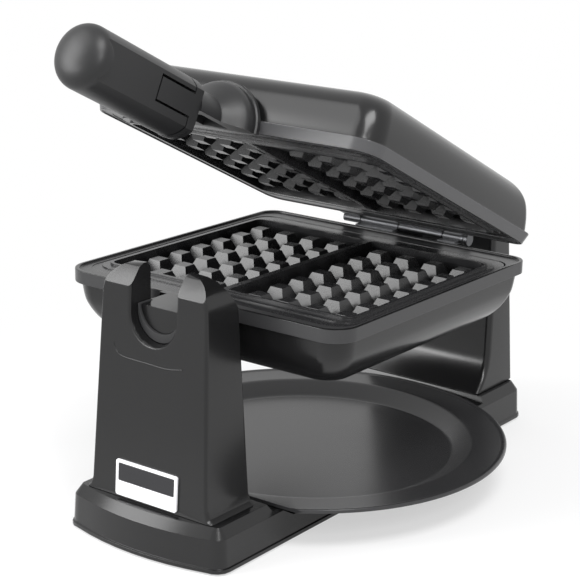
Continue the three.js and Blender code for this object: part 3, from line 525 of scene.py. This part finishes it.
def block(low, high):
    """A block between two corners, open for shaping."""
    clear_selection()
    middle = (at(*low) + at(*high)) / 2
    bpy.ops.mesh.primitive_cube_add(size=1, location=middle, scale=at(*high) - at(*low))
    return opened(bpy.context.object)


def cutter(low, high):
    """A block between two corners, to cut with."""
    piece = block(low, high)
    bpy.ops.object.mode_set(mode="OBJECT")
    return piece


def disc(radius, middle, sides):
    """A filled circle, open for shaping."""
    clear_selection()
    bpy.ops.mesh.primitive_circle_add(
        vertices=sides, radius=radius * MM, fill_type="NGON", location=at(*middle))
    return opened(bpy.context.object)


def choose(piece, kind, test):
    """Selects the faces or edges that pass a test."""
    bpy.ops.mesh.select_mode(type=kind)
    bpy.ops.mesh.select_all(action="DESELECT")
    cage = bmesh.from_edit_mesh(piece.data)
    for part in cage.faces if kind == "FACE" else cage.edges:
        if test(part):
            part.select_set(True)
    cage.select_flush_mode()
    bmesh.update_edit_mesh(piece.data)


def upright(edge, front):
    """Whether an edge stands up at the front or at the back."""
    first, second = (corner.co for corner in edge.verts)
    plumb = (first - second).xy.length < SAME_PLACE
    return plumb and (first.y < AXIS.y) == front


def round_corners(piece, front, back, steps):
    """Rounds the four upright edges of a block."""
    for radius, is_front in ((front, True), (back, False)):
        choose(piece, "EDGE", lambda edge: upright(edge, is_front))
        bpy.ops.mesh.bevel(offset=radius * MM, segments=steps, affect="EDGES")


def facing(piece, way):
    """Selects the outermost faces that face up or down."""
    cage = bmesh.from_edit_mesh(piece.data)
    level = max(corner.co.z * way for corner in cage.verts)
    choose(piece, "FACE", lambda face: all(
        abs(corner.co.z * way - level) < SAME_PLACE for corner in face.verts))


def grow(start, rings):
    """Extrudes the selected face through rings, each a half width, a front, a back and a height."""
    half, front, back, height = start
    for wide, near, far, up in rings:
        middle = (near + far) / 2
        move = Vector((0, middle - (front + back) / 2, up - height)) * MM
        bpy.ops.mesh.extrude_region_move(TRANSFORM_OT_translate={"value": move})
        share = (wide / half, (far - near) / (back - front), 1)
        bpy.ops.transform.resize(value=share, center_override=at(0, middle, up))
        half, front, back, height = wide, near, far, up


def bar(first, second, radius, sides):
    """A round bar between two places."""
    clear_selection()
    start, end = at(*first), at(*second)
    way = end - start
    bpy.ops.mesh.primitive_cylinder_add(
        vertices=sides, radius=radius * MM, depth=way.length, location=(start + end) / 2,
        rotation=way.to_track_quat("Z", "Y").to_euler())
    piece = bpy.context.object
    pick(piece)
    bpy.ops.object.transform_apply(location=True, rotation=True, scale=True)
    return piece


def combine(piece, other, operation):
    """Adds, cuts off or intersects another piece, which is then gone."""
    pick(piece)
    change = piece.modifiers.new("join", "BOOLEAN")
    change.operation = operation
    change.object = other
    change.solver = "EXACT"
    bpy.ops.object.modifier_apply(modifier=change.name)
    bpy.data.objects.remove(other)


def smoothed(points, steps):
    """A Catmull-Rom line through points, with a number of steps between two of them."""
    line = []
    for i in range(len(points) - 1):
        before = points[max(i - 1, 0)]
        first, second = points[i], points[i + 1]
        after = points[min(i + 2, len(points) - 1)]
        for step in range(steps):
            t = step / steps
            weights = (
                -t + 2 * t**2 - t**3, 2 - 5 * t**2 + 3 * t**3,
                t + 4 * t**2 - 3 * t**3, t**3 - t**2)
            near = zip(before, first, second, after)
            line.append(tuple(sum(w * v for w, v in zip(weights, values)) / 2 for values in near))
    return [*line, points[-1]]


def housing_ring(inset, up):
    """A ring along the housings' outline, this far in from it and over the parting plane."""
    return (HOUSING_HALF - inset, HOUSING_FRONT + inset, HOUSING_BACK - inset, PARTING + up)


def side_rings(profile):
    """Rings of a housing's outer side, from heights and insets."""
    return [housing_ring(inset, up) for up, inset in smoothed(profile, PROFILE_STEPS)]


def seat_rings(floor, way):
    """Rings of a plate's seat and the hollow behind it, downwards in the pan and up in the lid."""
    return [(half, -long, long, PARTING + deep * way) for half, long, deep in (*PLATE_SEAT, floor)]


def round_ring(radius, height, middle):
    return (radius, middle - radius, middle + radius, height)


def close():
    """Turns all faces of the piece outwards and leaves edit mode."""
    bpy.ops.mesh.select_mode(type="FACE")
    bpy.ops.mesh.select_all(action="SELECT")
    bpy.ops.mesh.remove_doubles(threshold=SAME_PLACE)
    bpy.ops.mesh.normals_make_consistent(inside=False)
    bpy.ops.object.mode_set(mode="OBJECT")


def thread(points, radius):
    """A thin round line through places in metres, as a mesh."""
    data = bpy.data.curves.new("line", "CURVE")
    data.dimensions = "3D"
    data.bevel_depth = radius * MM
    data.bevel_resolution = 3
    data.use_fill_caps = True
    spline = data.splines.new("POLY")
    spline.points.add(len(points) - 1)
    for place, point in zip(spline.points, points):
        place.co = (*point, 1)
    piece = bpy.data.objects.new("line", data)
    bpy.context.scene.collection.objects.link(piece)
    pick(piece)
    bpy.ops.object.convert(target="MESH")
    return bpy.context.object


def settle(piece, name, body, slot, material, *nodes):
    """Names a piece, gives it its finish and its body, and hides the solids that it stands for."""
    pick(piece)
    piece.name = name
    piece.data.name = name
    piece.data.materials.clear()
    piece.data.materials.append(FINISHES[material])
    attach(piece, body)
    if nodes:
        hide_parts(*nodes)
    clear_selection()


def dress(node, name, body, slot, material, width, steps=2):
    """Puts a copy with rounded edges in a solid's place."""
    settle(rounded(copied(node), width, steps), name, body, slot, material, node)


def wear(node, material):
    """Gives a solid that stays as it is its finish."""
    solid = frame["nodes"][node]
    solid.data.materials.clear()
    solid.data.materials.append(FINISHES[material])


class WM_OT_finishes(bpy.types.Operator):
    """Make the materials"""

    bl_idname = "waffle.finishes"
    bl_label = "Finishes"

    def execute(self, context):
        look = context.scene.waffle_finish
        FINISHES["housing"] = moulded("housing_plastic", look.housing, roughness=0.21)
        # The pan and the lid carry a strip of painted highlight along their bands.
        FINISHES["pan"] = moulded(
            "pan_plastic", look.housing, roughness=0.21, strip=PAN_PAINTED_SHEEN)
        FINISHES["lid"] = moulded(
            "lid_plastic", look.housing, roughness=0.21, strip=LID_PAINTED_SHEEN,
            turn=SHUT_TURN, move=SHUT_MOVE)
        FINISHES["grip"] = moulded("grip_plastic", look.grip, roughness=0.4, grain=0.08)
        FINISHES["tray"] = moulded("tray_satin", look.tray, roughness=0.24, grain=0.08)
        FINISHES["lower_plate"] = coated(
            "lower_coating", look.coating, PARTING - PYRAMID_TOP, PARTING - PYRAMID_FOOT)
        FINISHES["upper_plate"] = coated(
            "upper_coating", look.coating, PARTING + PYRAMID_TOP, PARTING + PYRAMID_FOOT,
            turn=SHUT_TURN, move=SHUT_MOVE)
        FINISHES["steel"] = plain_steel("hinge_steel", (0.42, 0.43, 0.45), roughness=0.32)
        FINISHES["dark_steel"] = plain_steel("dark_steel", (0.12, 0.122, 0.128), roughness=0.42)
        FINISHES["rubber"] = matt_rubber("foot_rubber", (0.02, 0.02, 0.021))
        FINISHES["badge"] = moulded("badge_white", (0.8, 0.8, 0.82), roughness=0.3, grain=0.02)
        FINISHES["badge_field"] = moulded(
            "badge_dark", (0.016, 0.016, 0.018), roughness=0.25, grain=0.02)
        return {"FINISHED"}


class WM_OT_base(bpy.types.Operator):
    """Dress the slab, its cover, feet, screws and cord inlet"""

    bl_idname = "waffle.base"
    bl_label = "Base"

    def execute(self, context):
        look = context.scene.waffle_finish
        dress(
            "base_slab", "slab", "base", "housing", "housing",
            width=look.edge, steps=look.edge_steps)
        wear("bottom_cover", "housing")
        for number in range(1, 5):
            wear(f"cover_screw_{number}", "steel")
            wear(f"foot_{number}", "rubber")
        dress("cord_inlet", "inlet", "base", "rubber", "rubber", width=0.0004)
        return {"FINISHED"}


class WM_OT_towers(bpy.types.Operator):
    """Dress both towers with their bearings"""

    bl_idname = "waffle.towers"
    bl_label = "Towers"

    def execute(self, context):
        look = context.scene.waffle_finish
        for side in ("front", "rear"):
            dress(
                f"{side}_tower", f"tower_{side}", "base", "housing", "housing",
                width=look.edge, steps=look.edge_steps)
        places = [
            at(x, TOWER_FACE - TOWER_LEAN_SHARE * (PARTING - z), z)
            for x, z in smoothed(TOWER_LINE, LINE_STEPS)]
        settle(thread(places, LINE_RADIUS), "tower_line", "base", "housing", "housing")
        dress("cradle_liner", "liner", "base", "rubber", "rubber", width=0.0003)
        wear("rear_bush", "rubber")
        return {"FINISHED"}


class WM_OT_badge(bpy.types.Operator):
    """Dress the bare badge"""

    bl_idname = "waffle.badge"
    bl_label = "Badge"

    def execute(self, context):
        dress("badge_plate", "badge", "base", "badge", "badge", width=0.0003)
        dress("badge_field", "badge_panel", "base", "badge_dark", "badge_field", width=0.00015)
        return {"FINISHED"}


class WM_OT_tray(bpy.types.Operator):
    """Dress the drip tray"""

    bl_idname = "waffle.tray"
    bl_label = "Drip tray"

    def execute(self, context):
        sides = context.scene.waffle_finish.tray_sides
        radius, height = TRAY_FLOOR
        tray = disc(radius, (0, TRAY_MIDDLE, height), sides)
        bpy.ops.mesh.select_all(action="SELECT")
        profile = (*TRAY_UNDER, *TRAY_RIM, *TRAY_OVER)
        rings = [round_ring(*point, TRAY_MIDDLE) for point in profile]
        grow(round_ring(radius, height, TRAY_MIDDLE), rings)
        bpy.ops.mesh.select_all(action="SELECT")
        bpy.ops.mesh.bisect(
            plane_co=at(0, TRAY_EDGE, 0), plane_no=(0, -1, 0), use_fill=True, clear_outer=True)
        close()
        rounded(tray, width=0.0004, steps=2, angle=50)
        settle(tray, "tray", "tray", "tray", "tray", "drip_tray")
        return {"FINISHED"}


class WM_OT_pan(bpy.types.Operator):
    """Dress the pan, its plate and its trunnions"""

    bl_idname = "waffle.pan"
    bl_label = "Pan"

    def execute(self, context):
        look = context.scene.waffle_finish
        pan = block(
            (-HOUSING_HALF, HOUSING_FRONT, PARTING + PAN_BAND),
            (HOUSING_HALF, HOUSING_BACK, PARTING + PAN_RIM))
        round_corners(pan, *PAN_CORNERS, look.corner_steps)
        facing(pan, -1)
        grow(housing_ring(0, PAN_BAND), side_rings(PAN_SIDE))
        facing(pan, 1)
        lip = [housing_ring(*point) for point in PAN_LIP]
        grow(housing_ring(0, PAN_RIM), [*lip, *seat_rings(PAN_FLOOR, -1)])
        close()
        rounded(pan, width=0.0005, steps=2)
        settle(pan, "pan", "pan", "housing", "pan", "lower_housing")
        dress(
            "lower_waffle_plate", "waffle_plate_lower", "pan", "plate", "lower_plate", width=0.0007)
        dress("lower_trunnion", "trunnion_front", "pan", "housing", "housing", width=0.0006)
        dress("rear_trunnion", "trunnion_rear", "pan", "housing", "housing", width=0.0006)
        for node in ("lower_element", "lower_heat_shield", "lower_thermostat", "shaft_washer"):
            wear(node, "steel")
        return {"FINISHED"}


class WM_OT_lid(bpy.types.Operator):
    """Dress the lid and its plate"""

    bl_idname = "waffle.lid"
    bl_label = "Lid"

    def execute(self, context):
        look = context.scene.waffle_finish
        inset, step = LID_BAND[0]
        lid = block(
            (inset - HOUSING_HALF, HOUSING_FRONT + inset, PARTING + LID_RIM),
            (HOUSING_HALF - inset, HOUSING_BACK - inset, PARTING + step))
        round_corners(lid, *LID_CORNERS, look.corner_steps)
        facing(lid, 1)
        band = [housing_ring(*point) for point in LID_BAND]
        grow(band[0], [*band[1:], *side_rings(LID_DOME)])
        facing(lid, -1)
        lip = [housing_ring(*point) for point in LID_LIP]
        grow(housing_ring(inset, LID_RIM), [*lip, *seat_rings(LID_CEILING, 1)])
        close()
        rounded(lid, width=0.0004, steps=2)
        lid.data.transform(LID)
        settle(lid, "lid", "lid", "housing", "lid", "upper_housing")
        dress(
            "upper_waffle_plate", "waffle_plate_upper", "lid", "plate", "upper_plate", width=0.0007)
        for node in ("upper_element", "upper_heat_shield", "upper_thermostat"):
            wear(node, "steel")
        return {"FINISHED"}


class WM_OT_handle(bpy.types.Operator):
    """Dress the neck, the grip and its pin"""

    bl_idname = "waffle.handle"
    bl_label = "Handle"

    def execute(self, context):
        self.make_neck()
        self.make_grip()
        wear("handle_pin", "dark_steel")
        return {"FINISHED"}

    def make_neck(self):
        neck = copied("handle_neck")
        neck.data.transform(LID.inverted())
        # The block before the prongs has the grip's section.
        stub = bar(
            (0, PRONG_END + NECK_GAP, GRIP_AXIS), (0, NECK_BLOCK_END, GRIP_AXIS),
            GRIP_RADIUS, CUTTER_SIDES)
        keep = cutter(
            (-NECK_BLOCK_HALF, CUT_NECK, PARTING - REACH),
            (NECK_BLOCK_HALF, CUT_BACK, PARTING + REACH))
        combine(stub, keep, "INTERSECT")
        combine(neck, stub, "UNION")
        rounded(neck, width=0.0004, steps=2, angle=32)
        neck.data.transform(LID)
        settle(neck, "neck", "lid", "grip", "grip", "handle_neck")

    def make_grip(self):
        grip = self.grip_bar()
        for side in (-1, 1):
            combine(grip, self.side_cutter(side), "DIFFERENCE")
        slot = cutter(
            (-REACH, SLOT_START, PARTING + SLOT_LOW), (REACH, CUT_BACK, PARTING + SLOT_HIGH))
        combine(grip, slot, "DIFFERENCE")
        # One side of the prongs is round about the pin, so that the grip can fold.
        low, high = (0, PIN_PLACE, PARTING - FAR_REACH), (0, PIN_PLACE, PARTING + FAR_REACH)
        corner = cutter((-FAR_REACH, PIN_PLACE, PARTING - REACH), (0, CUT_BACK, PARTING + REACH))
        combine(corner, bar(low, high, PRONG_END - PIN_PLACE, CUTTER_SIDES), "DIFFERENCE")
        combine(grip, corner, "DIFFERENCE")
        hole = bar((0, PIN_PLACE, PARTING + HOLE_END), high, HOLE_RADIUS, HOLE_SIDES)
        combine(grip, hole, "DIFFERENCE")
        rounded(grip, width=0.0003, steps=1, angle=32)
        grip.data.transform(LID)
        settle(grip, "grip", "handle", "grip", "grip", "handle_grip")

    def grip_bar(self):
        """The round bar with its blunt tip, made standing up and then laid forwards."""
        grip = disc(GRIP_RADIUS, (0, 0, -PRONG_END), GRIP_SIDES)
        bpy.ops.mesh.select_all(action="SELECT")
        profile = [(GRIP_RADIUS, GRIP_RING), (GRIP_RADIUS, TIP_START)]
        along, across = TIP_POWERS
        for step in range(1, TIP_RINGS + 1):
            reach = math.sin(math.radians(step * TIP_STEP))
            radius = GRIP_RADIUS * (1 - reach**along) ** (1 / across)
            profile.append((radius, TIP_START + TIP_LENGTH * reach))
        start = round_ring(GRIP_RADIUS, -PRONG_END, 0)
        grow(start, [round_ring(radius, height, 0) for radius, height in profile])
        close()
        lay = Matrix.Rotation(math.radians(90), 4, "X")
        grip.data.transform(
            Matrix.Translation(at(0, 0, GRIP_AXIS)) @ lay @ Matrix.Translation(-at(0, 0, 0)))
        return grip

    def side_cutter(self, side):
        """What is cut off one side of the grip to leave it flat. It ends in an arc at the tip."""
        flat = cutter((0, CUT_TIP, PARTING - REACH), (REACH, CUT_BACK, PARTING + REACH))
        middle = REACH / 2
        move = (side * (GRIP_FLAT + middle) - middle) * MM
        flat.data.transform(Matrix.Translation((move, 0, 0)))
        arc = FACET_START - FACET_ARC
        left, right = (-SIDE_REACH, arc, GRIP_AXIS), (SIDE_REACH, arc, GRIP_AXIS)
        combine(flat, bar(left, right, FACET_ARC, CUTTER_SIDES), "DIFFERENCE")
        trim = cutter(
            (-SIDE_REACH, CUT_PAST_TIP, PARTING - FAR_REACH),
            (SIDE_REACH, arc, PARTING + FAR_REACH))
        combine(flat, trim, "DIFFERENCE")
        return flat


class WM_OT_hinge(bpy.types.Operator):
    """Dress the hinge leaves, the pin and the washer"""

    bl_idname = "waffle.hinge"
    bl_label = "Hinge"

    def execute(self, context):
        leaves = (("left", "pan"), ("right", "pan"), ("middle", "lid"), ("tabs", "lid"))
        for side, body in leaves:
            dress(f"hinge_leaf_{side}", f"hinge_{side}", body, "steel", "dark_steel", width=0.0003)
        dress("hinge_pin", "hinge_bolt", "pan", "steel", "dark_steel", width=0.0004)
        dress("hinge_washer", "hinge_ring", "pan", "steel", "dark_steel", width=0.0003)
        return {"FINISHED"}


def soft_light(name, power, width, height, place, aim):
    data = bpy.data.lights.new(name, "AREA")
    data.shape = "RECTANGLE"
    data.size = width
    data.size_y = height
    data.energy = power
    lamp = bpy.data.objects.new(name, data)
    bpy.context.scene.collection.objects.link(lamp)
    lamp.location = place
    lamp.rotation_euler = (Vector(aim) - Vector(place)).to_track_quat("-Z", "Y").to_euler()


def seen_rays(nodes):
    """One on rays that the camera, a reflection or a clear piece sends, and nought on the rest."""
    camera = nodes.node("ShaderNodeLightPath", {}, {}, "Is Camera Ray")
    glossy, clear = (camera.beside(f"Is {kind} Ray") for kind in ("Glossy", "Transmission"))
    return camera.maths("MAXIMUM", camera.maths("MAXIMUM", camera, glossy), clear)


def pale_floor():
    """A plain pale surface near the object that keeps its shadow, and white further out."""
    made = Finish("floor", "ShaderNodeBsdfDiffuse")
    made.feed(Color=(0.9, 0.9, 0.905, 1))
    glow = made.node("ShaderNodeEmission", {}, {"Color": WHITE, "Strength": 1})
    where = made.node("ShaderNodeTexCoord", {}, {}, "Object")
    reach = made.node("ShaderNodeVectorMath", {"operation": "LENGTH"}, {0: where}, "Value")
    away = made.node(
        "ShaderNodeMapRange", {"interpolation_type": "SMOOTHSTEP"},
        {"Value": reach, "From Min": FLOOR_NEAR, "From Max": FLOOR_FAR, "To Min": FLOOR_GLOW_SHARE})
    lit = Term(made.tree, made.shader.outputs[0])
    blend = made.node("ShaderNodeMixShader", {}, {0: away * seen_rays(made), 1: lit, 2: glow})
    made.tree.links.new(blend.socket, made.output.inputs[0])
    return made.material


def white_world(strength):
    """Soft light from all sides, and plain white where the background is seen."""
    world = bpy.data.worlds.new("studio")
    bpy.context.scene.world = world
    world.use_nodes = True
    nodes = Nodes(world.node_tree)
    soft, white = (
        nodes.node("ShaderNodeBackground", {}, {"Color": WHITE, "Strength": level})
        for level in (strength, 1))
    blend = nodes.node("ShaderNodeMixShader", {}, {0: seen_rays(nodes), 1: soft, 2: white})
    nodes.node("ShaderNodeOutputWorld", {}, {"Surface": blend})


class WM_OT_stage(bpy.types.Operator):
    """Set the floor, the lights, the background and the camera"""

    bl_idname = "waffle.stage"
    bl_label = "Studio"

    def execute(self, context):
        studio = context.scene.waffle_studio
        clear_selection()
        bpy.ops.mesh.primitive_plane_add(size=FLOOR_SIZE, location=(0, 0, 0))
        floor = context.object
        floor.name = "floor"
        floor.data.materials.append(pale_floor())
        white_world(studio.ambient)
        for name, light in LIGHTS.items():
            soft_light(name, getattr(studio, name), *light)
        self.set_camera(context, studio)
        context.scene.view_settings.view_transform = "Standard"
        return {"FINISHED"}

    def set_camera(self, context, studio):
        azimuth, elevation, roll = (math.radians(angle) for angle in CAMERA_TURN)
        flat = math.cos(elevation)
        back = Vector(
            (math.sin(azimuth) * flat, -math.cos(azimuth) * flat, math.sin(elevation)))
        level = Vector((math.cos(azimuth), math.sin(azimuth), 0))
        plumb = back.cross(level)
        right = level * math.cos(roll) + plumb * math.sin(roll)
        up = plumb * math.cos(roll) - level * math.sin(roll)
        data = bpy.data.cameras.new("camera")
        data.lens = studio.lens
        data.sensor_width = SENSOR_WIDTH
        data.shift_x, data.shift_y = (pixels / FRAME_SIDE for pixels in CAMERA_SHIFT)
        data.clip_start = 0.01
        camera = bpy.data.objects.new("camera", data)
        context.scene.collection.objects.link(camera)
        place = at(*CAMERA_TARGET) + back * CAMERA_DISTANCE
        turn = Matrix((right, up, back)).transposed().to_4x4()
        camera.matrix_world = Matrix.Translation(place) @ turn
        context.scene.camera = camera


STEPS = (
    WM_OT_finishes, WM_OT_base, WM_OT_towers, WM_OT_badge, WM_OT_tray,
    WM_OT_pan, WM_OT_lid, WM_OT_handle, WM_OT_hinge, WM_OT_stage,
)


class WM_PT_panel(bpy.types.Panel):
    """Lists the steps"""

    bl_idname = "WM_PT_panel"
    bl_label = "Waffle maker"
    bl_space_type = "VIEW_3D"
    bl_region_type = "UI"
    bl_category = "Waffle maker"

    def draw(self, context):
        for step in STEPS:
            self.layout.operator(step.bl_idname)
        for group in (context.scene.waffle_finish, context.scene.waffle_studio):
            for name in group.__annotations__:
                self.layout.prop(group, name)


CLASSES = (WaffleMakerFinish, WaffleMakerStudio, *STEPS, WM_PT_panel)


def register():
    for kind in CLASSES:
        bpy.utils.register_class(kind)
    bpy.types.Scene.waffle_finish = PointerProperty(type=WaffleMakerFinish)
    bpy.types.Scene.waffle_studio = PointerProperty(type=WaffleMakerStudio)


def unregister():
    del bpy.types.Scene.waffle_studio
    del bpy.types.Scene.waffle_finish
    for kind in reversed(CLASSES):
        bpy.utils.unregister_class(kind)


def main():
    register()
    for step in STEPS:
        group, name = step.bl_idname.split(".")
        getattr(getattr(bpy.ops, group), name)()


if __name__ == "__main__":
    main()
